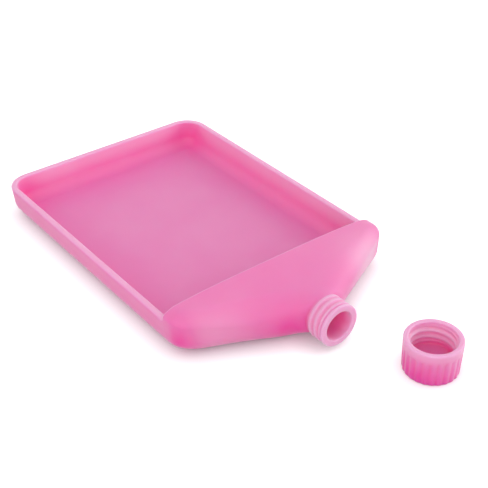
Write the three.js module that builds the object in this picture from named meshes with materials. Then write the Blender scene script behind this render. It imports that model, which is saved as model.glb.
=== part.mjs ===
// Bead funnel tray with its screw cap, in millimetres, +Z up.
// The origin is the middle of the tray's flat underside. The spout points along -Y.
import * as THREE from 'three';
import { mergeVertices } from 'three/addons/utils/BufferGeometryUtils.js';

// Open tray
const trayLength = 100.4; // from the back's outer face to the notch where the hood starts
const trayWidth = 82.4;
const rimHeight = 11.5;
const wall = 2.2;
const rimRounding = 0.6; // on both edges of the rim and of the hood's open edge
const floorThickness = 2;
const wallDraft = 0.5; // how far the side leans out between the foot and the rim
const backCornerRadius = 8.5;
const footReach = 6.8; // width of the rounded edge between the side and the underside
const footRise = 6.2; // height of that rounded edge

// Hood and shoulders
const hoodHeight = 16.4; // at the middle of its open edge
const hoodCrown = 1.5; // how much higher the middle is than the sides
const crownPower = 3; // 2 is a plain arch, higher keeps the middle flatter
const hoodLean = 0.9; // how far the hood's open edge leans forward between the rim and the top
const hoodEdgeReach = 5.8; // width of the rounded edge between the hood's side and its top
const hoodEdgeRise = 2.6; // height of that rounded edge
const hoodEdgeRoom = 0.9; // most that it may take of the hood's height above the rim
const edgeRoundingStart = 0.16; // share of the shoulder after which that edge widens towards the spout
const edgeRoundingPower = 0.87; // how soon it widens, below 1 is sooner
const footRoundingPower = 0.8; // the same for the rounded edge at the underside
const waistDrop = 0.4; // how far the hood's widest height lies below half its height
const shoulderSetback = 7.1; // straight side in front of the notch, up to the shoulder's line
const shoulderAngle = 25.8; // degrees between the shoulder's line and the tray's width
const shoulderCornerRadius = 6.3;
const shoulderHollow = 2.9; // roundness of the hollow in front of the spout
const spoutFillet = 1.2; // length over which the shoulder closes onto the spout
const undersideLiftStart = 0.7; // share of the shoulder that stays flat on the table

// Spout
const spoutRadius = 6.95; // over the thread's crests and the lip
const spoutRootRadius = 6.35; // the bare spout behind the lip
const boreRadius = 4.9;
const spoutHeight = 8.6; // its axis above the table
const spoutLength = 7.75;
const lipLength = 1;
const spoutLipRounding = 0.35;

// Cap
const capClearance = 0.2; // between the spout's crests and the cap's bore
const capWall = 1.6; // at the mouth
const capHeight = 11.1;
const capDepth = 8.3; // depth of the bore
const capTaper = 0.3; // how much narrower the closed end is, on the radius
const capEndRounding = 0.6;
const capFloorRounding = 0.6; // inside, between the bore and the floor
const capLipRounding = 0.45;
const capBand = 2.3; // smooth band at the mouth, above the flutes
const fluteCount = 24;
const fluteDepth = 0.25;
const capAside = 15.5; // the cap's place on the table, to the right of the spout's axis
const capAhead = 22.5; // and in front of the spout's mouth

// Facets
const cornerSteps = 9;
const sideSteps = 6;
const footSteps = 10;
const edgeSteps = 10;
const flatSteps = 3;
const crownSteps = 6;
const hoodSteps = 20;
const lipSteps = 3;
const stepsPerFlute = 4;

const lipStartZ = rimHeight - rimRounding;
const backY = trayLength / 2;
const notchY = -trayLength / 2;
const skinStartY = notchY - rimRounding;
const sin = Math.sin;
const cos = Math.cos;

const mix = (a, b, t) => a + (b - a) * t;
const clamp01 = (t) => Math.min(1, Math.max(0, t));
const ease = (t) => clamp01(t) ** 2 * (3 - 2 * clamp01(t));

// How far the side at height z stands in from the rim.
const leanAt = (z) => wallDraft * clamp01((lipStartZ - z) / (lipStartZ - footRise));

// The outer skin and the inner skin are the same form in two sizes.
// inset is 0 for the outer skin and 1 for the inner one.
function skinSizes(inset) {
  const halfWidth = trayWidth / 2 - inset * wall;
  const endRadius = inset ? boreRadius : spoutRootRadius;
  const tilt = THREE.MathUtils.degToRad(shoulderAngle);
  // The shoulder's line in plan is x sin(tilt) - y cos(tilt) = reach.
  const reach = (trayWidth / 2) * sin(tilt) - (notchY - shoulderSetback) * cos(tilt) - inset * wall;
  const cornerRadius = shoulderCornerRadius - inset * wall;
  const cornerX = halfWidth - cornerRadius;
  const cornerY = (cornerX * sin(tilt) + cornerRadius - reach) / cos(tilt);
  const top = hoodHeight - hoodCrown - inset * wall;
  return {
    halfWidth,
    endRadius,
    tilt,
    reach,
    cornerRadius,
    cornerX,
    cornerY,
    tangentY: cornerY - cornerRadius * cos(tilt),
    endY: (endRadius * sin(tilt) - reach) / cos(tilt),
    bottom: inset * floorThickness,
    top,
    footReach: footReach - inset * wall,
    footRise: footRise - inset * floorThickness,
    edgeReach: hoodEdgeReach - inset * wall,
    edgeRise: Math.min(hoodEdgeRise - inset * wall, hoodEdgeRoom * (top - lipStartZ)),
    backRadius: backCornerRadius - inset * wall,
    backY: backY - inset * wall,
  };
}

// Half the skin's width at y: the straight side, the corner's arc, then the shoulder's line into the spout.
function halfWidthAt(y, size) {
  if (y >= size.cornerY) return size.halfWidth;
  if (y >= size.tangentY) return size.cornerX + Math.sqrt(size.cornerRadius ** 2 - (size.cornerY - y) ** 2);
  if (y <= size.endY) return size.endRadius;
  const line = (size.reach + y * cos(size.tilt)) / sin(size.tilt);
  const over = line - size.endRadius;
  const hollow = (Math.hypot(over, shoulderHollow) - over) / 2;
  const fade = 1 - ease((y - size.endY) / (size.tangentY - size.endY));
  return line + hollow * fade * ease((y - size.endY) / spoutFillet);
}

// One closed section of the hood across Y, as points in X and Z, from the bottom's middle up the right side.
// It starts as a flat rounded box and ends as the spout's circle.
function hoodSection(y, size) {
  const along = clamp01((skinStartY - y) / (skinStartY - size.endY));
  const half = halfWidthAt(y, size);
  const bottom = mix(size.bottom, spoutHeight - size.endRadius, ease((along - undersideLiftStart) / (1 - undersideLiftStart)));
  const top = mix(size.top, spoutHeight + size.endRadius, ease(along));
  // The widest height never comes below the top of the rounded foot.
  const waist = Math.max((size.bottom + size.top) / 2 - waistDrop, size.bottom + size.footRise);
  const middle = mix(waist, spoutHeight, ease(along));
  const lowRound = ease(along) ** footRoundingPower;
  const highRound = ease((along - edgeRoundingStart) / (1 - edgeRoundingStart)) ** edgeRoundingPower;
  const lowReach = Math.min(half, mix(size.footReach, half, lowRound));
  const lowRise = Math.min(mix(size.footRise, middle - bottom, lowRound), middle - bottom);
  const highReach = Math.min(half, mix(size.edgeReach, half, highRound));
  const highRise = Math.min(mix(size.edgeRise, top - middle, highRound), top - middle);
  const lean = (z) => (1 - ease(along)) * leanAt(z);
  // The top is crowned across its width. The crown fades out down the rounded edge and towards the spout.
  const crown = (x) => (1 - ease(along)) * hoodCrown * (1 - Math.abs(x / half) ** crownPower);
  const points = [];
  for (let i = 0; i < flatSteps; i++) {
    points.push([((half - lean(bottom) - lowReach) * i) / flatSteps, bottom]);
  }
  for (let i = 0; i <= footSteps; i++) {
    const turn = (i / footSteps) * (Math.PI / 2);
    const z = bottom + lowRise * (1 - cos(turn));
    points.push([half - lean(z) - lowReach * (1 - sin(turn)), z]);
  }
  const straightStart = bottom + lowRise;
  const straightEnd = top - highRise;
  const footTop = size.bottom + size.footRise;
  const rimShare = clamp01((lipStartZ - footTop) / (size.top - size.edgeRise - footTop));
  const rimZ = mix(straightStart, straightEnd, rimShare);
  points.push([half - lean(rimZ), rimZ]);
  for (let i = 0; i <= edgeSteps; i++) {
    const turn = (i / edgeSteps) * (Math.PI / 2);
    const x = half - highReach * (1 - cos(turn));
    points.push([x, top - highRise * (1 - sin(turn)) + crown(x) * sin(turn)]);
  }
  for (let i = 1; i <= crownSteps; i++) {
    const x = (half - highReach) * (1 - i / crownSteps);
    points.push([x, top + crown(x)]);
  }
  return points;
}
const rimRow = flatSteps + footSteps + 1;

// The hood's open edge: where each line along the skin starts.
function edgeY(z) {
  return skinStartY - hoodLean * clamp01((z - rimHeight) / (hoodHeight - rimHeight));
}

// Shares of the way from the hood's open edge to the spout, closer together at the spout.
const hoodStations = [];
for (let i = 0; i <= hoodSteps; i++) hoodStations.push((i / hoodSteps) * 0.94);
hoodStations.push(0.96, 0.98, 1);

// Lines of points along the hood's skin, from its open edge to the spout, right side first, then the left.
function hoodLines(size) {
  const first = hoodSection(skinStartY, size);
  const right = first.map((point, row) => {
    const startY = edgeY(point[1]);
    return hoodStations.map((share) => {
      const y = mix(startY, size.endY, share);
      const [x, z] = hoodSection(y, size)[row];
      return new THREE.Vector3(x, y, z);
    });
  });
  const left = right.map((line) => line.map((p) => new THREE.Vector3(-p.x, p.y, p.z)));
  return { right, left };
}

// Columns of points up the open tray's skin, from the underside's edge to the rim, right, back and left.
function trayColumns(size) {
  const columns = [];
  const addColumn = (x, y, inwardX, inwardY) => {
    const column = [];
    for (let i = 0; i <= footSteps; i++) {
      const turn = (i / footSteps) * (Math.PI / 2);
      const z = size.bottom + size.footRise * (1 - cos(turn));
      const inward = leanAt(z) + size.footReach * (1 - sin(turn));
      column.push(new THREE.Vector3(x + inwardX * inward, y + inwardY * inward, z));
    }
    column.push(new THREE.Vector3(x, y, lipStartZ));
    columns.push(column);
  };
  const arcX = size.halfWidth - size.backRadius;
  const arcY = size.backY - size.backRadius;
  for (let i = 0; i < sideSteps; i++) addColumn(size.halfWidth, mix(skinStartY, arcY, i / sideSteps), -1, 0);
  for (let i = 0; i <= cornerSteps; i++) {
    const turn = (i / cornerSteps) * (Math.PI / 2);
    addColumn(arcX + size.backRadius * cos(turn), arcY + size.backRadius * sin(turn), -cos(turn), -sin(turn));
  }
  for (let i = 1; i < sideSteps; i++) addColumn(mix(arcX, -arcX, i / sideSteps), size.backY, 0, -1);
  for (let i = cornerSteps; i >= 0; i--) {
    const turn = (i / cornerSteps) * (Math.PI / 2);
    addColumn(-arcX - size.backRadius * cos(turn), arcY + size.backRadius * sin(turn), cos(turn), -sin(turn));
  }
  for (let i = sideSteps - 1; i >= 0; i--) addColumn(-size.halfWidth, mix(skinStartY, arcY, i / sideSteps), 1, 0);
  return columns;
}

// A list of triangles that becomes one closed mesh.
class Skin {
  constructor() {
    this.corners = [];
  }

  triangle(a, b, c) {
    this.corners.push(a, b, c);
  }

  // Faces between neighbouring lines of points. turned makes them face the other way.
  sheet(lines, turned = false) {
    for (let i = 0; i + 1 < lines.length; i++) {
      for (let j = 0; j + 1 < lines[i].length; j++) {
        const [a, b, c, d] = [lines[i][j], lines[i + 1][j], lines[i + 1][j + 1], lines[i][j + 1]];
        if (turned) {
          this.triangle(a, c, b);
          this.triangle(a, d, c);
        } else {
          this.triangle(a, b, c);
          this.triangle(a, c, d);
        }
      }
    }
  }

  // A flat face inside a loop of points that share one height, as a fan about its middle.
  flat(loop, turned = false) {
    const middle = new THREE.Vector3(0, 0, loop[0].z);
    loop.forEach((p, i) => {
      const next = loop[(i + 1) % loop.length];
      if (turned) this.triangle(middle, next, p);
      else this.triangle(middle, p, next);
    });
  }

  geometry() {
    const raw = new THREE.BufferGeometry().setFromPoints(this.corners);
    const merged = mergeVertices(raw, 1e-4);
    const index = Array.from(merged.index.array);
    const kept = [];
    for (let i = 0; i < index.length; i += 3) {
      const [a, b, c] = index.slice(i, i + 3);
      if (a !== b && b !== c && c !== a) kept.push(a, b, c);
    }
    merged.setIndex(kept);
    merged.computeVertexNormals();
    return merged;
  }
}

// The open edge of a skin as one closed loop: along the rim, then up and over the hood's edge.
function openEdge(columns, lines) {
  const rim = columns.map((column) => column[column.length - 1]);
  const overLeft = lines.left.slice(rimRow + 1).map((line) => line[0]);
  const overRight = lines.right.slice(rimRow + 1, -1).map((line) => line[0]).reverse();
  return [...rim, ...overLeft, ...overRight];
}

// The rounded lip that joins the outer skin's open edge to the inner one's.
function lipArcs(outer, inner) {
  const middles = outer.map((o, i) => o.clone().add(inner[i]).multiplyScalar(0.5));
  return middles.map((middle, i) => {
    const before = middle.clone().sub(middles.at(i - 1)).normalize();
    const after = middles[(i + 1) % middles.length].clone().sub(middle).normalize();
    const across = outer[i].clone().sub(middle);
    // Where the path turns a corner, the lip is mitred.
    const mitre = 1 / Math.sqrt((1 + before.dot(after)) / 2);
    const out = new THREE.Vector3().crossVectors(across, before.add(after)).normalize();
    out.multiplyScalar(rimRounding * mitre);
    const flat = 1 - rimRounding / across.length();
    const corner = rimRounding / across.length();
    const arc = [];
    for (let k = 0; k <= lipSteps; k++) {
      const turn = (k / lipSteps) * (Math.PI / 2);
      arc.push(middle.clone().addScaledVector(across, flat + corner * cos(turn)).addScaledVector(out, sin(turn)));
    }
    for (let k = lipSteps; k >= 0; k--) {
      const turn = (k / lipSteps) * (Math.PI / 2);
      arc.push(middle.clone().addScaledVector(across, -flat - corner * cos(turn)).addScaledVector(out, sin(turn)));
    }
    arc[0] = outer[i];
    arc[arc.length - 1] = inner[i];
    return arc;
  });
}

function makeFunnelTray() {
  const skin = new Skin();
  const outerSize = skinSizes(0);
  const innerSize = skinSizes(1);
  const edges = [];
  const ends = [];
  for (const size of [outerSize, innerSize]) {
    const isInner = size === innerSize;
    const columns = trayColumns(size);
    const lines = hoodLines(size);
    skin.sheet(columns, isInner);
    skin.sheet(lines.right, isInner);
    skin.sheet(lines.left, !isInner);
    const foot = columns.map((column) => column[0]);
    const frontLeft = lines.left.slice(1, flatSteps).map((line) => line[0]).reverse();
    const frontRight = lines.right.slice(0, flatSteps).map((line) => line[0]);
    skin.flat([...foot, ...frontLeft, ...frontRight], !isInner);
    edges.push(openEdge(columns, lines));
    const endRight = lines.right.map((line) => line[line.length - 1]);
    const endLeft = lines.left.slice(1, -1).map((line) => line[line.length - 1]).reverse();
    ends.push([...endRight, ...endLeft, endRight[0]]);
  }
  const arcs = lipArcs(edges[0], edges[1]);
  skin.sheet([...arcs, arcs[0]]);

  // The spout carries on from the skins' round ends: bare tube, lip, mouth and bore.
  const mouthY = outerSize.endY - spoutLength;
  const profile = [
    [spoutRootRadius, mouthY + lipLength + spoutLipRounding],
    [spoutRadius, mouthY + lipLength],
    [spoutRadius, mouthY + spoutLipRounding],
    [spoutRadius - 0.3 * spoutLipRounding, mouthY + 0.3 * spoutLipRounding],
    [spoutRadius - spoutLipRounding, mouthY],
    [boreRadius + spoutLipRounding, mouthY],
    [boreRadius + 0.3 * spoutLipRounding, mouthY + 0.3 * spoutLipRounding],
    [boreRadius, mouthY + spoutLipRounding],
  ];
  const turns = ends[0].map((p) => Math.atan2(p.z - spoutHeight, p.x));
  const rings = profile.map(([radius, y]) =>
    turns.map((turn) => new THREE.Vector3(radius * cos(turn), y, spoutHeight + radius * sin(turn))));
  skin.sheet([ends[0], ...rings, ends[1]], true);
  return { geometry: skin.geometry(), mouthY };
}

// A turned form: rings of points about Z, where flute is the depth of the flutes at that ring.
function turned(profile, columnCount) {
  return profile.map(({ radius, z, flute = 0 }) => {
    const ring = [];
    for (let i = 0; i <= columnCount; i++) {
      const turn = (i / columnCount) * 2 * Math.PI;
      const r = radius - flute * (0.5 - 0.5 * cos(fluteCount * turn));
      ring.push(i === columnCount ? ring[0] : new THREE.Vector3(r * cos(turn), r * sin(turn), z));
    }
    return ring;
  });
}

function makeScrewCap() {
  const bore = spoutRadius + capClearance;
  const mouthRadius = bore + capWall;
  const endRadius = mouthRadius - capTaper;
  const fluteTop = capHeight - capBand;
  const floorZ = capHeight - capDepth;
  const profile = [{ radius: 0, z: 0 }];
  for (let i = 0; i <= 5; i++) {
    const turn = (i / 5) * (Math.PI / 2);
    const radius = endRadius - capEndRounding * (1 - sin(turn));
    profile.push({ radius, z: capEndRounding * (1 - cos(turn)), flute: fluteDepth * sin(turn) ** 2 });
  }
  const radiusAt = (z) => mix(endRadius, mouthRadius, clamp01((z - capEndRounding) / (fluteTop - capEndRounding)));
  for (let i = 1; i <= 4; i++) {
    const z = mix(capEndRounding, fluteTop, i / 4);
    profile.push({ radius: radiusAt(z), z, flute: fluteDepth * (i < 4 ? 1 : 0) });
  }
  profile.push({ radius: mouthRadius, z: capHeight - capLipRounding });
  profile.push({ radius: mouthRadius - 0.3 * capLipRounding, z: capHeight - 0.3 * capLipRounding });
  profile.push({ radius: mouthRadius - capLipRounding, z: capHeight });
  profile.push({ radius: bore + capLipRounding, z: capHeight });
  profile.push({ radius: bore + 0.3 * capLipRounding, z: capHeight - 0.3 * capLipRounding });
  profile.push({ radius: bore, z: capHeight - capLipRounding });
  profile.push({ radius: bore, z: floorZ + capFloorRounding });
  profile.push({ radius: bore - capFloorRounding, z: floorZ });
  profile.push({ radius: 0, z: floorZ });
  const skin = new Skin();
  skin.sheet(turned(profile, fluteCount * stepsPerFlute), true);
  return skin.geometry();
}

const plastic = (name) => new THREE.MeshStandardMaterial({ name, color: 0xef7db8, roughness: 0.42, metalness: 0 });

const tray = makeFunnelTray();
const funnelTray = new THREE.Mesh(tray.geometry, plastic('tray plastic'));
funnelTray.name = 'funnel_tray';

const screwCap = new THREE.Mesh(makeScrewCap(), plastic('cap plastic'));
screwCap.name = 'screw_cap';
screwCap.position.set(capAside, tray.mouthY - capAhead, 0);

const part = new THREE.Group();
part.add(funnelTray, screwCap);

export default part;
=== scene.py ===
import math
import bmesh
import bpy
import numpy as np
from mathutils import Matrix, Vector


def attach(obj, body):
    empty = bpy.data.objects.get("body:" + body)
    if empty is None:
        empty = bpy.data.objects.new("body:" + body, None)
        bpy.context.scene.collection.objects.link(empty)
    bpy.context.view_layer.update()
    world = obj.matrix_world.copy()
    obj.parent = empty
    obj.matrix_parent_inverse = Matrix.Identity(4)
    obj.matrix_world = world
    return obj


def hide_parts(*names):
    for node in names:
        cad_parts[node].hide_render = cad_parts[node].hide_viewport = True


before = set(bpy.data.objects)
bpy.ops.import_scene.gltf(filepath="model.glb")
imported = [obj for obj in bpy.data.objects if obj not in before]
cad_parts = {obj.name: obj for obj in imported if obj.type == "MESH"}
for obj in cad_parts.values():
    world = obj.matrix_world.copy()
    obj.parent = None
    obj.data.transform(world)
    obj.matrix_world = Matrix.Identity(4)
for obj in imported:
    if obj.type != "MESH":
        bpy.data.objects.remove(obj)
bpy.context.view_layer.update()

mm = 0.001
perMetre = 1000.0             # millimetres in a metre
mergeMm = 0.002               # points closer than this become one
sliverMm = 0.001              # edges shorter than this go
leastLength = 1e-9            # keeps a stretch of no length from dividing by 0
print("packed model loaded")


# helpers for numbers, meshes and nodes

def mix(a, b, share):
    # a where share is 0, b where it is 1, and a straight line between them
    return a + (b - a) * share


def ease(share):
    # share held between 0 and 1, then 3 share squared minus 2 share cubed
    share = np.clip(share, 0.0, 1.0)
    return share * share * (3.0 - 2.0 * share)


def linearColor(hexText):
    # sRGB hex to the linear red, green, blue and 1 that the shaders take
    srgb = np.array([int(hexText[i:i + 2], 16) for i in (1, 3, 5)]) / 255.0
    linear = np.where(srgb <= 0.04045, srgb / 12.92, ((srgb + 0.055) / 1.055) ** 2.4)
    return (*linear.tolist(), 1.0)


def addObject(name, data):
    # a new object with that data, linked to the scene
    made = bpy.data.objects.new(name, data)
    bpy.context.scene.collection.objects.link(made)
    return made


def gridMesh(name, parts):
    # each part is a grid of points in millimetres, rows by columns by 3, and the tone of painted light and
    # shade at each point
    # neighbours make quads, points that meet are merged, and the faces are turned outwards
    points, tones, quads, start = [], [], [], 0
    for grid, paintedLightTone in parts:
        rows, columns = grid.shape[:2]
        index = start + np.arange(rows * columns).reshape(rows, columns)
        quad = np.stack([index[:-1, :-1], index[1:, :-1], index[1:, 1:], index[:-1, 1:]], -1)
        quads.append(quad.reshape(-1, 4))
        points.append(grid.reshape(-1, 3))
        tones.append(np.broadcast_to(paintedLightTone, (rows, columns)).reshape(-1))
        start += rows * columns
    mesh = bpy.data.meshes.new(name)
    mesh.from_pydata((np.concatenate(points) * mm).tolist(), [], np.concatenate(quads).tolist())
    attribute = mesh.attributes.new("paintedLightTone", "FLOAT", "POINT")
    attribute.data.foreach_set("value", np.concatenate(tones).astype(np.float32))
    edit = bmesh.new()
    edit.from_mesh(mesh)
    bmesh.ops.remove_doubles(edit, verts=edit.verts, dist=mergeMm * mm)
    bmesh.ops.dissolve_degenerate(edit, edges=edit.edges, dist=sliverMm * mm)
    bmesh.ops.recalc_face_normals(edit, faces=edit.faces)
    openEdges = sum(not edge.is_manifold for edge in edit.edges)
    for face in edit.faces:
        face.smooth = True
    edit.to_mesh(mesh)
    edit.free()
    print(name, len(mesh.polygons), "faces,", openEdges, "open edges")
    return addObject(name, mesh)


def stackRings(rings, columns):
    # a ring is a radius, a place along the axis and a tone, each spread over its rows and all the columns
    spread = []
    for ring in rings:
        rows = np.broadcast(*ring).shape[0]
        spread.append([np.broadcast_to(value, (rows, columns)) for value in ring])
    return [np.concatenate(values) for values in zip(*spread)]


def emptyTree(owner):
    # the node tree of a material or a world, with its default nodes taken out
    owner.use_nodes = True
    owner.node_tree.nodes.clear()
    return owner.node_tree


def addNode(tree, kind, settings=None, links=None):
    # settings are socket values or node properties; links are socket name to output socket
    node = tree.nodes.new(kind)
    for key, value in (settings or {}).items():
        if isinstance(key, int) or key in node.inputs:
            node.inputs[key].default_value = value
        else:
            setattr(node, key, value)
    for key, source in (links or {}).items():
        tree.links.new(source, node.inputs[key])
    return node


# the tray: open tray, hood, shoulders and spout in one moulding, sizes in millimetres

traySizes = {
    "length": 100.4,          # back's outer face to the notch where the hood starts
    "width": 82.4,
    "rimHeight": 11.5,
    "wall": 2.2,
    "rimRounding": 0.6,
    "floor": 2.0,
    "draft": 0.5,             # how far the side leans out between the foot and the rim
    "backCorner": 8.5,
    "footReach": 6.8,
    "footRise": 6.2,
    "notchRounding": 0.8,
    "hoodHeight": 16.4,       # at the middle of its open edge
    "hoodCrown": 1.5,         # how much higher the middle is than the sides
    "crownPower": 3,
    "hoodLean": 0.9,
    "edgeReach": 5.8,
    "edgeRise": 2.6,
    "edgeStart": 0.16,        # share of the shoulder after which the hood's edge widens
    "edgePower": 0.87,
    "footPower": 0.8,
    "waistDrop": 0.4,
    "setback": 7.1,           # straight side in front of the notch, up to the shoulder's line
    "shoulderAngle": 25.8,
    "shoulderCorner": 6.3,
    "hollow": 2.9,
    "spoutFillet": 1.2,
    "liftStart": 0.7,
    "spoutHeight": 8.6,
    "crestRadius": 6.95,
    "rootRadius": 6.35,
    "bore": 4.9,
    "spoutLength": 7.75,
    "lipLength": 0.9,
    "mouthRounding": 0.35,
    "threadPitch": 2.2,
    "threadWidth": 1.7,       # of one ridge at its foot
    "threadFlank": 0.55,      # of each slope of the ridge
    "threadAt": -75.6,        # where the first ridge's crest crosses the top line
    "threadPlain": 0.3,       # length without thread at the root, and again before the lip
    "threadRootFade": 0.8,    # length over which the thread rises at the root
    "threadLipFade": 0.6,     # length over which it sinks before the lip
    "lipSlope": (0.25, 0.05),  # the slope up to the lip, from before its start to past it
}

# the tone paints light and shade into the colour: 0 is painted shade, deep in hollows, corners and low
# places, and 1 is a painted highlight, pale along thin edges
# a pair is left and right, and heights, reaches and fades are in millimetres unless said
trayPaintedLight = {
    "body": 0.5,
    # painted highlight along the rounded lip
    "lip": 0.85,
    # painted shade, deep low inside along the foot
    "foot": 0.42,
    "wall": 0.82,             # inside, just below the rim, painted light
    "floor": 0.56,
    "floorPower": 4,          # how late the floor goes over to the foot's tone
    # the thread painted paler than the body with painted highlights on its crests, a painted highlight
    # round the mouth, and painted shade deep in the bore
    "groove": 0.74,
    "crestHighlight": 0.88,
    "mouth": 0.88,
    "bore": 0.48,
    "rootFade": 1.2,          # length over which the shoulder's tone gives way to the groove's
    "boreFade": 2.2,          # the bore's own tone starts at one part in this of its length
    "paintedLitSideWidth": 24.0,       # width about the middle over which the left's painted shade goes over to the right's painted light
    "backCorner": 0.34,       # painted shade: how much deeper the inside is at the two back corners
    "backHeight": 7.0,
    "backReach": (7.0, 7.0, 7.0),
    "corner": 0.56,           # painted shade: how much deeper the two front corners are than the body
    "cornerHeight": 5.0,
    "cornerReach": (4.5, 4.5, 7.0),
    "neckShade": (0.62, 0.2),      # painted shade: how much deeper the hollow beside the spout's root is
    "neckBeside": 3.2,
    "neckBehind": 2.6,
    "neckHeight": 6.0,
    "neckReach": (7.5, 4.5, 5.5),
    "shoulder": (0.2, 0.42),  # painted light: how much paler the hollow of each shoulder is
    "shoulderPlace": (0.72, 0.6, 0.6),  # shares of the half width, the way to the corner and the height
    "shoulderReach": (12.0, 8.0, 8.0),
}

# rows of points up half a section, from the underside's middle to the hood top's middle
sectionRows = {"under": 16, "foot": 20, "below": 4, "above": 4, "edge": 16, "top": 16}
hoodStations = 64
stationPower = 1.6            # above 1, the stations lie closer together towards the spout
stationShare = 0.5            # how much of that spacing is taken
sideColumns = 40
cornerColumns = 20
notchColumns = 8
lipSteps = 6
floorRings = 10
threadRings = 96
slopeRings = 5
mouthRings = 7
boreRings = 12

t = traySizes
backY = t["length"] / 2
notchY = -t["length"] / 2
lipStart = t["rimHeight"] - t["rimRounding"]
skinStartY = notchY - t["rimRounding"]


def leanAt(z):
    # the side stands in by the draft at the foot's top, and by nothing at the lip's start
    return t["draft"] * np.clip((lipStart - z) / (lipStart - t["footRise"]), 0.0, 1.0)


def skinSizes(inset):
    # inset 0 is the outer skin, inset 1 the inner skin, a wall further in
    # the shoulder's line in plan is x sin(tilt) - y cos(tilt) = reach
    wall, tilt = t["wall"] * inset, math.radians(t["shoulderAngle"])
    half = t["width"] / 2 - wall
    reach = t["width"] / 2 * math.sin(tilt) - (notchY - t["setback"]) * math.cos(tilt) - wall
    corner = t["shoulderCorner"] - wall
    cornerX = half - corner
    cornerY = (cornerX * math.sin(tilt) + corner - reach) / math.cos(tilt)
    end = t["bore"] if inset else t["rootRadius"]
    return {
        "half": half, "tilt": tilt, "reach": reach, "corner": corner, "cornerX": cornerX,
        "cornerY": cornerY, "tangentY": cornerY - corner * math.cos(tilt), "end": end,
        "endY": (end * math.sin(tilt) - reach) / math.cos(tilt),
        "bottom": t["floor"] * inset, "top": t["hoodHeight"] - t["hoodCrown"] - wall,
        "footReach": t["footReach"] - wall, "footRise": t["footRise"] - t["floor"] * inset,
        "edgeReach": t["edgeReach"] - wall, "edgeRise": t["edgeRise"] - wall,
        "back": t["backCorner"] - wall, "backY": backY - wall,
    }


def halfWidth(y, s):
    # straight side, then the corner's arc, then the shoulder's line, rounded where it meets the spout
    arc = s["cornerX"] + np.sqrt(np.clip(s["corner"] ** 2 - (s["cornerY"] - y) ** 2, 0, None))
    line = (s["reach"] + y * math.cos(s["tilt"])) / math.sin(s["tilt"])
    over = line - s["end"]
    hollow = (np.hypot(over, t["hollow"]) - over) / 2
    fade = 1 - ease((y - s["endY"]) / (s["tangentY"] - s["endY"]))
    line = line + hollow * fade * ease((y - s["endY"]) / t["spoutFillet"])
    width = np.where(y >= s["tangentY"], arc, line)
    width = np.where(y >= s["cornerY"], s["half"], width)
    return np.where(y <= s["endY"], s["end"], width)


def section(y, s):
    # sizes of the hood's section at y: it starts as a flat rounded box and ends as the spout's circle
    along = np.clip((skinStartY - y) / (skinStartY - s["endY"]), 0, 1)
    half = halfWidth(y, s)
    lift = ease((along - t["liftStart"]) / (1 - t["liftStart"]))
    bottom = mix(s["bottom"], t["spoutHeight"] - s["end"], lift)
    top = mix(s["top"], t["spoutHeight"] + s["end"], ease(along))
    middle = mix((s["bottom"] + s["top"]) / 2 - t["waistDrop"], t["spoutHeight"], ease(along))
    low = ease(along) ** t["footPower"]
    high = ease((along - t["edgeStart"]) / (1 - t["edgeStart"])) ** t["edgePower"]
    lowReach = np.minimum(half, mix(s["footReach"], half, low))
    lowRise = np.minimum(mix(s["footRise"], middle - bottom, low), middle - bottom)
    highReach = np.minimum(half, mix(s["edgeReach"], half, high))
    highRise = np.minimum(mix(s["edgeRise"], top - middle, high), top - middle)
    return half, bottom, top, lowReach, lowRise, highReach, highRise, 1 - ease(along)


def sectionLengths(y, s):
    # rough lengths of the five stretches of half a section
    half, bottom, top, lowReach, lowRise, highReach, highRise, _ = section(y, s)
    quarter = math.pi / 2 / math.sqrt(2)
    return np.stack([half - lowReach, quarter * np.hypot(lowReach, lowRise),
                     top - highRise - bottom - lowRise, quarter * np.hypot(highReach, highRise),
                     half - highReach], 0)


def sectionPoint(y, share, s):
    # the point at that share of the way from the underside's middle, up the side, to the top's middle
    # two quarter ellipses with straight stretches between, and a crown over the upper one and the top
    half, bottom, top, lowReach, lowRise, highReach, highRise, stand = section(y, s)
    lengths = np.maximum(sectionLengths(y, s), leastLength)
    ends = np.cumsum(lengths, 0)
    at = share * ends[-1]
    local = np.clip((at[None] - (ends - lengths)) / lengths, 0, 1)
    turnLow, turnHigh = local[1] * math.pi / 2, local[3] * math.pi / 2
    z = bottom + lowRise * (1 - np.cos(turnLow))
    z = z + (top - highRise - bottom - lowRise) * local[2] + highRise * np.sin(turnHigh)
    x = (half - lowReach) * local[0] + lowReach * np.sin(turnLow)
    x = x - highReach * (1 - np.cos(turnHigh)) - (half - highReach) * local[4]
    crown = stand * t["hoodCrown"] * (1 - np.abs(x / half) ** t["crownPower"]) * np.sin(turnHigh)
    lean = stand * leanAt(z) * np.where(at <= ends[0], local[0], 1)
    return x - lean, z + crown


def rowShares(s):
    # shares of the first section at which the rows lie, with one row where the notch's rounding ends
    lengths = sectionLengths(np.array(skinStartY), s)
    ends = np.cumsum(lengths) / lengths.sum()
    footTop = s["bottom"] + s["footRise"]
    sideTop = s["top"] - s["edgeRise"]
    rim = mix(ends[1], ends[2], (lipStart + t["notchRounding"] - footTop) / (sideTop - footTop))
    stops = [0, ends[0], ends[1], rim, ends[2], ends[3], 1]
    counts = list(sectionRows.values())
    parts = [np.linspace(a, b, n + 1)[:-1] for a, b, n in zip(stops[:-1], stops[1:], counts)]
    return np.concatenate(parts + [np.array([1.0])])


rimRow = sectionRows["under"] + sectionRows["foot"] + sectionRows["below"]


def edgeY(z):
    # the hood's open edge leans forward above the rim
    lean = np.clip((z - t["rimHeight"]) / (t["hoodHeight"] - t["rimHeight"]), 0, 1)
    return skinStartY - t["hoodLean"] * lean


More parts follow.
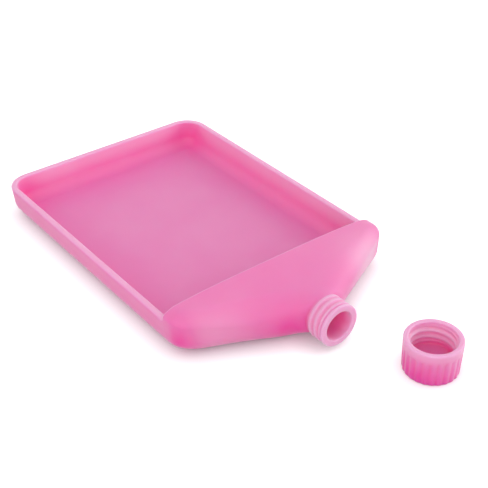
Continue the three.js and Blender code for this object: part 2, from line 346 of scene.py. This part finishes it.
def hoodGrid(s):
    # rows of the section carried from the open edge to the spout, spreading out evenly on the way
    first = rowShares(s)
    even = np.linspace(0, 1, len(first))
    _, startZ = sectionPoint(np.full_like(first, skinStartY), first, s)
    along = np.linspace(0, 1, hoodStations + 1)
    along = mix(along, 1 - (1 - along) ** stationPower, stationShare)
    share = mix(first[:, None], even[:, None], ease(along)[None])
    y = mix(edgeY(startZ)[:, None], s["endY"], along[None])
    x, z = sectionPoint(y, share, s)
    return np.stack([x, y, z], -1)


def mirrored(grid):
    # the same points with x turned round, for the left side
    return grid * np.array([-1.0, 1.0, 1.0])


def folded(grid):
    # x without its sign, so that one place stands for both sides
    return np.stack([np.abs(grid[..., 0]), grid[..., 1], grid[..., 2]], -1)


def near(grid, place, reach):
    # a soft spot: the bell curve of the distance from place, with its own reach along x, y and z
    away = (grid - np.array(place)) / np.array(reach)
    return np.exp(-np.sum(away * away, -1))


def insidePaintedLight(z, s):
    # painted shade deep along the inside's foot, and painted light just below the rim
    return mix(trayPaintedLight["foot"], trayPaintedLight["wall"], ease((z - s["bottom"]) / (lipStart - s["bottom"])))


def hoodPaintedLight(grid, s, inset):
    # inside, the tray's painted light and shade goes over to the bore's painted shade
    # outside, painted light makes it paler at the shoulders' hollows, and painted shade deeper at the front
    # corners and low beside the neck
    # the left is painted deeper than the right, light falling from the right as the photograph shows it,
    # with an eased share between them
    if inset:
        share = np.linspace(0, 1, grid.shape[1])[None]
        return mix(insidePaintedLight(grid[..., 2], s), trayPaintedLight["bore"], ease(share))
    # share of the painted light falling from the right
    right = ease(0.5 + grid[..., 0] / trayPaintedLight["paintedLitSideWidth"])
    grid = folded(grid)
    spot = math.radians(90 - t["shoulderAngle"]) / 2
    cornerX = s["cornerX"] + s["corner"] * math.cos(spot)
    cornerY = s["cornerY"] - s["corner"] * math.sin(spot)
    # painted shade at the two front corners
    corner = near(grid, (cornerX, cornerY, trayPaintedLight["cornerHeight"]), trayPaintedLight["cornerReach"])
    neckX = s["end"] + trayPaintedLight["neckBeside"]
    neckY = s["endY"] + trayPaintedLight["neckBehind"]
    # painted shade in the hollow beside the spout's root
    neckShade = near(grid, (neckX, neckY, trayPaintedLight["neckHeight"]), trayPaintedLight["neckReach"])
    across, along, up = trayPaintedLight["shoulderPlace"]
    hollowPlace = (s["half"] * across, mix(s["endY"], s["cornerY"], along), s["top"] * up)
    # painted light in the hollow of each shoulder
    hollow = near(grid, hollowPlace, trayPaintedLight["shoulderReach"])
    paintedLightTone = trayPaintedLight["body"] - trayPaintedLight["corner"] * corner
    paintedLightTone = paintedLightTone + mix(*trayPaintedLight["shoulder"], right) * hollow
    return paintedLightTone - mix(*trayPaintedLight["neckShade"], right) * neckShade


def columnsGrid(s, start):
    # the foot's quarter ellipse and the side, carried round the plan: side, corner, back, corner, side
    half, arcX, arcY = s["half"], s["half"] - s["back"], s["backY"] - s["back"]
    r = t["notchRounding"]
    close = skinStartY + r * (1 - np.cos(np.linspace(0, math.pi / 2, notchColumns + 1)))
    sideY = np.concatenate([close[:-1], np.linspace(close[-1], arcY, sideColumns + 1)[:-1]])
    turn = np.linspace(0, math.pi / 2, cornerColumns + 1)
    sideX = np.concatenate([np.full_like(sideY, half), arcX + s["back"] * np.cos(turn)])
    sideY = np.concatenate([sideY, arcY + s["back"] * np.sin(turn)])
    straight = len(sideY) - len(turn)
    inX = np.concatenate([np.full(straight, -1.0), -np.cos(turn)])
    inY = np.concatenate([np.zeros(straight), -np.sin(turn)])
    backX = np.linspace(arcX, -arcX, sideColumns + 1)[1:-1]
    planX = np.concatenate([sideX, backX, -sideX[::-1]])
    planY = np.concatenate([sideY, np.full_like(backX, s["backY"]), sideY[::-1]])
    inX = np.concatenate([inX, np.zeros_like(backX), -inX[::-1]])
    inY = np.concatenate([inY, np.full_like(backX, -1.0), inY[::-1]])
    # the rim rises into the notch's rounding, a quarter circle of the notch's radius
    inNotch = np.clip(r - (planY - skinStartY), 0, r)
    rimZ = lipStart + r - np.sqrt(r * r - inNotch ** 2)
    footTurn = np.linspace(0, math.pi / 2, sectionRows["foot"] + 1)
    z = np.repeat((s["bottom"] + s["footRise"] * (1 - np.cos(footTurn)))[:, None], len(planX), 1)
    inward = np.repeat((s["footReach"] * (1 - np.sin(footTurn)))[:, None], len(planX), 1)
    steps = np.linspace(0, 1, sectionRows["below"] + 1)[1:]
    sideZ = mix(s["bottom"] + s["footRise"], rimZ[None], steps[:, None])
    z = np.concatenate([z, sideZ])
    inward = np.concatenate([inward, np.zeros_like(sideZ)]) + leanAt(z)
    grid = np.stack([planX[None] + inX[None] * inward, planY[None] + inY[None] * inward, z], -1)
    foot = start[sectionRows["under"]:rimRow + 1]
    grid[:, 0] = foot
    grid[:, -1] = mirrored(foot)
    return grid


def columnsPaintedLight(grid, s, inset):
    # inside, painted shade deeper at the two back corners, and outside the body's tone all over
    if inset:
        turned = s["back"] * (1 - math.sqrt(0.5))
        place = (s["half"] - turned, s["backY"] - turned, trayPaintedLight["backHeight"])
        corner = near(folded(grid), place, trayPaintedLight["backReach"])
        return insidePaintedLight(grid[..., 2], s) - trayPaintedLight["backCorner"] * corner
    return np.full(grid.shape[:2], trayPaintedLight["body"])


def floorGrid(loop):
    # rings from the middle of the floor out to the loop round it
    middle = np.array([0.0, 0.0, loop[0, 2]])
    ring = np.linspace(0, 1, floorRings + 1)[:, None, None]
    closed = np.concatenate([loop, loop[:1]])
    return mix(middle[None, None], closed[None], ring)


def floorPaintedShade(inset):
    # inside, painted shade deepens the floor towards the foot round it, and the underside has the body's
    # tone
    if not inset:
        return trayPaintedLight["body"]
    ring = np.linspace(0, 1, floorRings + 1)[:, None]
    return mix(trayPaintedLight["floor"], trayPaintedLight["foot"], ring ** trayPaintedLight["floorPower"])


def lipGrid(outer, inner, outerTone, innerTone):
    # a rounded strip across the wall's open edge: quarter circle, flat, quarter circle
    middle = (outer + inner) / 2
    across = (outer - inner) / 2
    half = np.linalg.norm(across, axis=1, keepdims=True)
    run = np.roll(middle, -1, 0) - np.roll(middle, 1, 0)
    out = np.cross(across, run)
    out /= np.linalg.norm(out, axis=1, keepdims=True)
    r = t["rimRounding"]
    turn = np.linspace(0, math.pi / 2, lipSteps + 1)
    side = np.concatenate([np.cos(turn), np.cos(turn[::-1])])
    sign = np.concatenate([np.ones(lipSteps + 1), -np.ones(lipSteps + 1)])
    rise = np.concatenate([np.sin(turn), np.sin(turn[::-1])])
    reach = sign[None] * ((half - r) + r * side[None])
    sideways = (across / half)[:, None] * reach[..., None]
    outwards = out[:, None] * (r * rise)[None, :, None]
    grid = middle[:, None] + sideways + outwards
    grid[:, 0], grid[:, -1] = outer, inner
    # pale where the strip rounds over, a painted highlight along the lip
    edgeTone = np.where(sign[None] > 0, outerTone[:, None], innerTone[:, None])
    paintedLightTone = mix(edgeTone, trayPaintedLight["lip"], rise[None])
    return np.concatenate([grid, grid[:1]]), np.concatenate([paintedLightTone, paintedLightTone[:1]])


def ridge(phase, width, flank):
    # one thread ridge with a level crest and eased flanks; phase, width and flank are in turns of the pitch
    away = np.abs((phase + 0.5) % 1.0 - 0.5)
    return ease((width / 2 - away) / flank)


def spoutGrid(outerEnd, innerEnd, outerTone, innerTone, mouthY):
    # rings about the spout's axis: the threaded outside, the lip, the mouth and the bore
    turn = np.arctan2(outerEnd[:, 2] - t["spoutHeight"], outerEnd[:, 0])
    rootY = outerEnd[0, 1]
    lipY = mouthY + t["lipLength"]
    beforeLip, pastLip = t["lipSlope"]
    y = np.linspace(rootY, lipY + beforeLip, threadRings)[1:, None]
    wound = (np.unwrap(turn)[None] - math.pi / 2) / (2 * math.pi)
    phase = (y - t["threadAt"]) / t["threadPitch"] + wound
    atRoot = ease((rootY - t["threadPlain"] - y) / t["threadRootFade"])
    atLip = ease((y - lipY - t["threadPlain"]) / t["threadLipFade"])
    width = t["threadWidth"] / t["threadPitch"]
    flank = t["threadFlank"] / t["threadPitch"]
    height = atRoot * atLip * ridge(phase, width, flank)
    tall = t["crestRadius"] - t["rootRadius"]
    # the thread painted paler than the shoulder, with painted highlights on its crests
    threadPaintedLight = mix(trayPaintedLight["groove"], trayPaintedLight["crestHighlight"], height)
    threadPaintedLight = mix(outerTone, threadPaintedLight, ease((rootY - y) / trayPaintedLight["rootFade"]))
    rings = [(t["rootRadius"] + tall * height, y, threadPaintedLight)]
    rise = np.linspace(0, 1, slopeRings)[1:, None]
    slopeRadius = mix(t["rootRadius"], t["crestRadius"], ease(rise))
    slopeY = mix(lipY + beforeLip, lipY - pastLip, rise)
    # a painted highlight up the slope to the mouth and round it
    rings.append((slopeRadius, slopeY, mix(trayPaintedLight["groove"], trayPaintedLight["mouth"], rise)))
    m = t["mouthRounding"]
    quarter = np.linspace(0, math.pi / 2, mouthRings)[:, None]
    for radius, side, turned in ((t["crestRadius"], -m, quarter), (t["bore"], m, quarter[::-1])):
        ringY = mouthY + m * (1 - np.sin(turned))
        rings.append((radius + side * (1 - np.cos(turned)), ringY, trayPaintedLight["mouth"]))
    deep = np.linspace(0, 1, boreRings)[1:-1, None]
    # painted shade deepening into the bore
    borePaintedShade = mix(trayPaintedLight["mouth"], trayPaintedLight["bore"], ease(deep * trayPaintedLight["boreFade"]))
    rings.append((t["bore"], mix(mouthY + m, innerEnd[0, 1], deep), borePaintedShade))
    radius, ringY, paintedLightTone = stackRings(rings, len(turn))
    grid = np.stack([radius * np.cos(turn), ringY, t["spoutHeight"] + radius * np.sin(turn)], -1)
    grid = np.concatenate([outerEnd[None], grid, innerEnd[None]])
    paintedLightTone = np.concatenate([outerTone[None], paintedLightTone, innerTone[None]])
    return np.concatenate([grid, grid[:, :1]], 1), np.concatenate([paintedLightTone, paintedLightTone[:, :1]], 1)


def makeTray():
    # both skins, each a hood, its mirror image, the sides and the floor, joined by the lip and the spout
    parts, edges, edgeTones, ends, endTones = [], [], [], [], []
    for inset in (0, 1):
        s = skinSizes(inset)
        hood = hoodGrid(s)
        paintedLightTone, leftTone = hoodPaintedLight(hood, s, inset), hoodPaintedLight(mirrored(hood), s, inset)
        columns = columnsGrid(s, hood[:, 0])
        aroundTone = columnsPaintedLight(columns, s, inset)
        front = hood[:sectionRows["under"], 0]
        loop = np.concatenate([columns[0], mirrored(front[1:])[::-1], front])
        parts += [(hood, paintedLightTone), (mirrored(hood), leftTone)]
        parts += [(columns, aroundTone), (floorGrid(loop), floorPaintedShade(inset))]
        over, overTone = hood[rimRow + 1:, 0], paintedLightTone[rimRow + 1:, 0]
        edges.append(np.concatenate([columns[-1], mirrored(over), over[:-1][::-1]]))
        edgeTones.append(np.concatenate([aroundTone[-1], overTone, overTone[:-1][::-1]]))
        end = hood[:, -1]
        ends.append(np.concatenate([end, mirrored(end[1:-1])[::-1]]))
        endTones.append(np.concatenate([paintedLightTone[:, -1], leftTone[1:-1, -1][::-1]]))
    parts.append(lipGrid(*edges, *edgeTones))
    mouthY = skinSizes(0)["endY"] - t["spoutLength"]
    parts.append(spoutGrid(*ends, *endTones, mouthY))
    return gridMesh("moulded_tray", parts), mouthY


# the cap: a turned cup with a fluted side and an inside thread

capSizes = {
    "clearance": 0.2,
    "wall": 1.6,
    "height": 11.1,
    "depth": 8.3,
    "taper": 0.3,
    "endRounding": 0.6,
    "lipRounding": 0.45,
    "floorRounding": 0.6,
    "band": 2.3,              # smooth band at the mouth
    "flutes": 24,
    "fluteDepth": 0.25,
    "flutePower": 1.3,        # above 1, a flute is narrower at its bottom
    "fluteFade": 1.1,         # length over which it runs out into the band
    "threadHeight": 0.7,
    "threadPitch": 2.2,
    "threadWidth": 1.9,
    "threadFlank": 0.8,
    "threadAt": 1.27,         # height of a ridge's crest on the cap's +X side
    "threadPlain": (0.5, 0.9),  # length without thread, at the lip and at the floor
    "threadFade": (1.1, 0.9),  # length over which it rises and sinks there
    "aside": 15.5,
    "ahead": 22.5,
    "flutePoints": 10,
    "endRings": 9,
    "roundingRings": 8,
    "sideRings": 34,
    "bandRings": 8,
}
capPaintedLight = {
    # painted shade deep at the closed end, low down, painted light paler up the side to the band, and a
    # painted highlight along the lip
    "end": 0.05,
    "band": 0.72,
    "lip": 0.85,
    # inside, painted highlights on the thread's crests, and painted shade on the floor
    "crestHighlight": 0.95,
    "groove": 0.88,
    "floor": 0.56,
    "flowAndPaintedLitSide": 0.17,            # painted light: how much paler its right side is than its middle, and painted shade, how much deeper its left
    "paintedLitSideTowards": -38,      # degrees from +X
    "paintedLitSideFade": 3.0,         # length over which that painted light and shade runs out into the band
    "flute": 0.05,            # painted shade: how much deeper the bottom of a flute is than its edges
    "fluteLevel": 0.4,        # share of a flute's depth where its tone is the side's own
    "floorFade": 3.5,         # length over which the floor's tone gives way to the thread's
    "lipFade": (2.0, 1.6),    # how far below the mouth the lip's tone starts, and the length it takes
}


def makeCap(mouthY):
    # rings about the cap's axis: closed end, fluted side, band, lip, threaded bore and floor
    c = capSizes
    turn = np.linspace(0, 2 * math.pi, c["flutes"] * c["flutePoints"] + 1)
    bore = t["crestRadius"] + c["clearance"]
    mouth = bore + c["wall"]
    end = mouth - c["taper"]
    fluteTop = c["height"] - c["band"]
    floorZ = c["height"] - c["depth"]
    flute = (0.5 - 0.5 * np.cos(c["flutes"] * turn)) ** c["flutePower"]
    quarter = np.linspace(0, math.pi / 2, c["roundingRings"])[:, None]
    e, m, f = c["endRounding"], c["lipRounding"], c["floorRounding"]
    share = np.linspace(0, 1, c["endRings"])[:-1, None]
    rings = [(share * (end - e), 0.0 * share, capPaintedLight["end"])]
    endRadius = end - e * (1 - np.sin(quarter)) - c["fluteDepth"] * np.sin(quarter) ** 2 * flute
    rings.append((endRadius, e * (1 - np.cos(quarter)), capPaintedLight["end"]))
    z = np.linspace(e, fluteTop, c["sideRings"])[1:, None]
    cut = ease((fluteTop - z) / c["fluteFade"]) * flute
    # painted light on the right side, painted shade on the left
    towards = np.cos(turn - math.radians(capPaintedLight["paintedLitSideTowards"]))
    flowAndPaintedLitSide = capPaintedLight["flowAndPaintedLitSide"] * towards * ease((fluteTop - z) / capPaintedLight["paintedLitSideFade"])
    # painted shade deep at the bottom, paler towards the band, with painted shade in the flutes' bottoms
    paintedLightTone = mix(capPaintedLight["end"], capPaintedLight["band"], ease(z / c["height"]))
    paintedLightTone = paintedLightTone + capPaintedLight["flute"] * (capPaintedLight["fluteLevel"] - cut) + flowAndPaintedLitSide
    rings.append((mix(end, mouth, (z - e) / (fluteTop - e)) - c["fluteDepth"] * cut, z, paintedLightTone))
    z = np.linspace(fluteTop, c["height"] - m, c["bandRings"])[1:, None]
    rings.append((mouth, z, mix(capPaintedLight["band"], capPaintedLight["lip"], ease((z - fluteTop) / c["band"]))))
    for radius, side, turned in ((mouth, -m, quarter), (bore, m, quarter[::-1])):
        lipZ = c["height"] - m * (1 - np.sin(turned))
        rings.append((radius + side * (1 - np.cos(turned)), lipZ, capPaintedLight["lip"]))
    z = np.linspace(c["height"] - m, floorZ + f, threadRings)[1:, None]
    phase = (z - c["threadAt"]) / c["threadPitch"] - turn / (2 * math.pi)
    atLip = ease((c["height"] - m - c["threadPlain"][0] - z) / c["threadFade"][0])
    atFloor = ease((z - floorZ - c["threadPlain"][1]) / c["threadFade"][1])
    width = c["threadWidth"] / c["threadPitch"]
    flank = c["threadFlank"] / c["threadPitch"]
    height = atLip * atFloor * ridge(phase, width, flank)
    lipStarts, lipTakes = capPaintedLight["lipFade"]
    # painted highlights on the thread's crests, and painted shade on the floor
    paintedLightTone = mix(capPaintedLight["groove"], capPaintedLight["crestHighlight"], height)
    paintedLightTone = mix(capPaintedLight["floor"], paintedLightTone, ease((z - floorZ) / capPaintedLight["floorFade"]))
    paintedLightTone = mix(paintedLightTone, capPaintedLight["lip"], ease((z - c["height"] + lipStarts) / lipTakes))
    rings.append((bore - c["threadHeight"] * height, z, paintedLightTone))
    low = quarter[1:]
    rings.append((bore - f * (1 - np.cos(low)), floorZ + f * (1 - np.sin(low)), capPaintedLight["floor"]))
    share = np.linspace(1, 0, c["endRings"])[1:, None]
    rings.append((share * (bore - f), floorZ + 0 * share, capPaintedLight["floor"]))
    radius, z, paintedLightTone = stackRings(rings, len(turn))
    x = c["aside"] + radius * np.cos(turn)
    y = mouthY - c["ahead"] + radius * np.sin(turn)
    grid = np.stack([x, y, z], -1)
    grid[:, -1] = grid[:, 0]
    return gridMesh("moulded_cap", [(grid, paintedLightTone)])


# the plastic

plasticSizes = {
    # deep is the colour of painted shade and pale the colour of painted highlight, either side of the
    # body's own colour
    "deep": "#FF42AC",
    "body": "#F47ABE",
    "paintedHighlight": "#FABDDC",
    "roughness": 0.5,
    "scatterMm": (2.4, 1.6, 2.0),
    "flowMm": 18.0,
    "flowTone": 0.06,         # how far the wide, faint change of tone goes either way
    "grainMm": 0.45,
    "grainStrength": 0.12,
    "grainDepthMm": 0.02,
}


def softPolyethylene(name):
    # moulded polyethylene, dyed pink right through: satin, waxy, with light sinking into thin walls
    # its tone attribute paints light and shade into the colour: the deep colour is painted shade in
    # hollows, corners and low places, and the pale one a painted highlight along edges and on the side lit
    # from the right
    p = plasticSizes
    material = bpy.data.materials.new(name)
    tree = emptyTree(material)
    place = addNode(tree, "ShaderNodeTexCoord").outputs["Object"]
    flow = addNode(tree, "ShaderNodeTexNoise",
                   {"Scale": perMetre / p["flowMm"], "Detail": 2.0}, {"Vector": place})
    # here only the plastic's own wide, faint change of tone from its flow, with no painted light
    flowAndPaintedLitSide = addNode(tree, "ShaderNodeMapRange",
                    {"To Min": -p["flowTone"], "To Max": p["flowTone"]}, {"Value": flow.outputs["Fac"]})
    paintedLightTone = addNode(tree, "ShaderNodeAttribute", {"attribute_name": "paintedLightTone"})
    level = addNode(tree, "ShaderNodeMath", {"operation": "ADD"},
                    {0: paintedLightTone.outputs["Fac"], 1: flowAndPaintedLitSide.outputs["Result"]})
    # from painted shade, through the plastic's own body colour, to painted highlight
    ramp = addNode(tree, "ShaderNodeValToRGB", links={"Fac": level.outputs[0]})
    ramp.color_ramp.elements[0].color = linearColor(p["deep"])
    ramp.color_ramp.elements[1].color = linearColor(p["paintedHighlight"])
    ramp.color_ramp.elements.new(0.5).color = linearColor(p["body"])
    grain = addNode(tree, "ShaderNodeTexNoise",
                    {"Scale": perMetre / p["grainMm"], "Detail": 1.0}, {"Vector": place})
    bump = addNode(tree, "ShaderNodeBump",
                   {"Strength": p["grainStrength"], "Distance": p["grainDepthMm"] * mm},
                   {"Height": grain.outputs["Fac"]})
    shader = addNode(tree, "ShaderNodeBsdfPrincipled", {
        "Roughness": p["roughness"],
        "IOR": 1.5,
        "Subsurface Weight": 1.0,
        "Subsurface Radius": p["scatterMm"],
        "Subsurface Scale": mm,
        "Specular IOR Level": 0.75,
        "Sheen Weight": 0.4,
        "Sheen Roughness": 0.4,
    }, {"Base Color": ramp.outputs["Color"], "Normal": bump.outputs["Normal"]})
    addNode(tree, "ShaderNodeOutputMaterial", links={"Surface": shader.outputs["BSDF"]})
    return material


tray, mouthY = makeTray()
tray.data.materials.append(softPolyethylene("moulded pink polyethylene, tray"))
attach(tray, "tray")
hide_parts("funnel_tray")
print("tray made")

cap = makeCap(mouthY)
cap.data.materials.append(softPolyethylene("moulded pink polyethylene, cap"))
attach(cap, "cap")
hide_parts("screw_cap")
print("cap made")


# floor, light and camera

stageSizes = {
    "floorMm": 3000.0,
    "floorZ": -0.02,          # just under the object, so that no two faces lie in one plane
    "floorColor": "#E0E0E0",
    "whiteLift": 0.7,         # brightness added where the floor is seen, less close under the object
    "shadeMm": 7.5,           # how far from the object that shade reaches
    "shadeSamples": 16,
    "aroundStrength": 0.72,
}


def seenWhite(tree):
    # 1 for camera, glossy and transmission rays, so that reflections show the same white as the background
    path = addNode(tree, "ShaderNodeLightPath")
    either = addNode(tree, "ShaderNodeMath", {"operation": "MAXIMUM"},
                     {0: path.outputs["Is Camera Ray"], 1: path.outputs["Is Glossy Ray"]})
    return addNode(tree, "ShaderNodeMath", {"operation": "MAXIMUM"},
                   {0: either.outputs[0], 1: path.outputs["Is Transmission Ray"]}).outputs[0]


def makeFloor():
    # grey paper with white added where it is seen, less where the object hides its surroundings
    half, z = stageSizes["floorMm"] / 2, stageSizes["floorZ"]
    corners = np.array([[[-half, -half, z], [half, -half, z]], [[-half, half, z], [half, half, z]]])
    floor = gridMesh("floor", [(corners[::-1], 0.5)])
    material = bpy.data.materials.new("white paper sweep")
    tree = emptyTree(material)
    clear = addNode(tree, "ShaderNodeAmbientOcclusion",
                    {"Distance": stageSizes["shadeMm"] * mm, "samples": stageSizes["shadeSamples"]})
    lift = addNode(tree, "ShaderNodeMath",
                   {"operation": "MULTIPLY", 1: stageSizes["whiteLift"]}, {0: seenWhite(tree)})
    shaded = addNode(tree, "ShaderNodeMath", {"operation": "MULTIPLY"},
                     {0: lift.outputs[0], 1: clear.outputs["AO"]})
    paper = addNode(tree, "ShaderNodeBsdfDiffuse", {"Color": linearColor(stageSizes["floorColor"])})
    glow = addNode(tree, "ShaderNodeEmission", {"Color": (1, 1, 1, 1)}, {"Strength": shaded.outputs[0]})
    both = addNode(tree, "ShaderNodeAddShader", links={0: paper.outputs[0], 1: glow.outputs[0]})
    addNode(tree, "ShaderNodeOutputMaterial", links={"Surface": both.outputs[0]})
    floor.data.materials.append(material)


def makeWorld():
    # it lights the object at the around strength, and is seen as plain white
    world = bpy.data.worlds.new("white studio")
    bpy.context.scene.world = world
    tree = emptyTree(world)
    around = addNode(tree, "ShaderNodeBackground",
                     {"Color": (1, 1, 1, 1), "Strength": stageSizes["aroundStrength"]})
    seen = addNode(tree, "ShaderNodeBackground", {"Color": (1, 1, 1, 1), "Strength": 1.0})
    choose = addNode(tree, "ShaderNodeMixShader",
                     links={0: seenWhite(tree), 1: around.outputs[0], 2: seen.outputs[0]})
    addNode(tree, "ShaderNodeOutputWorld", links={"Surface": choose.outputs[0]})


lampSizes = {
    "top": {"at": (0, 120, 700), "size": 600, "watts": 0.12},
    "right": {"at": (640, -330, 270), "size": 430, "watts": 1.45},
    "left": {"at": (-480, -420, 300), "size": 600, "watts": 0.95},
}


def makeLamps():
    # square softboxes, each turned to face one point on the table
    aim = Vector((0, -0.02, 0))  # in metres, a little towards the spout
    for name, lamp in lampSizes.items():
        data = bpy.data.lights.new(name + " softbox", "AREA")
        data.shape = "SQUARE"
        data.size = lamp["size"] * mm
        data.energy = lamp["watts"]
        at = Vector(lamp["at"]) * mm
        turned = (aim - at).to_track_quat("-Z", "Y").to_matrix().to_4x4()
        addObject(name + " softbox", data).matrix_world = Matrix.Translation(at) @ turned


cameraSizes = {
    "at": (-162.83, -245.41, 193.39),
    "heading": 37.927,        # degrees from +Y towards +X
    "down": 34.193,
    "roll": -0.149,
    "lens": 74.03,
    "sensor": 36.0,
    "clipStart": 0.01,        # in metres
}


def makeCamera():
    # the photograph's view, turned about Z, then tipped down, then rolled
    data = bpy.data.cameras.new("camera")
    data.lens = cameraSizes["lens"]
    data.sensor_width = cameraSizes["sensor"]
    data.clip_start = cameraSizes["clipStart"]
    camera = addObject("camera", data)
    turn = Matrix.Rotation(math.radians(-cameraSizes["heading"]), 4, "Z")
    tip = Matrix.Rotation(math.radians(90 - cameraSizes["down"]), 4, "X")
    roll = Matrix.Rotation(math.radians(cameraSizes["roll"]), 4, "Z")
    camera.matrix_world = Matrix.Translation(Vector(cameraSizes["at"]) * mm) @ turn @ tip @ roll
    bpy.context.scene.camera = camera


makeFloor()
makeWorld()
makeLamps()
makeCamera()
bpy.context.scene.view_settings.view_transform = "Standard"
print("floor, light and camera made")
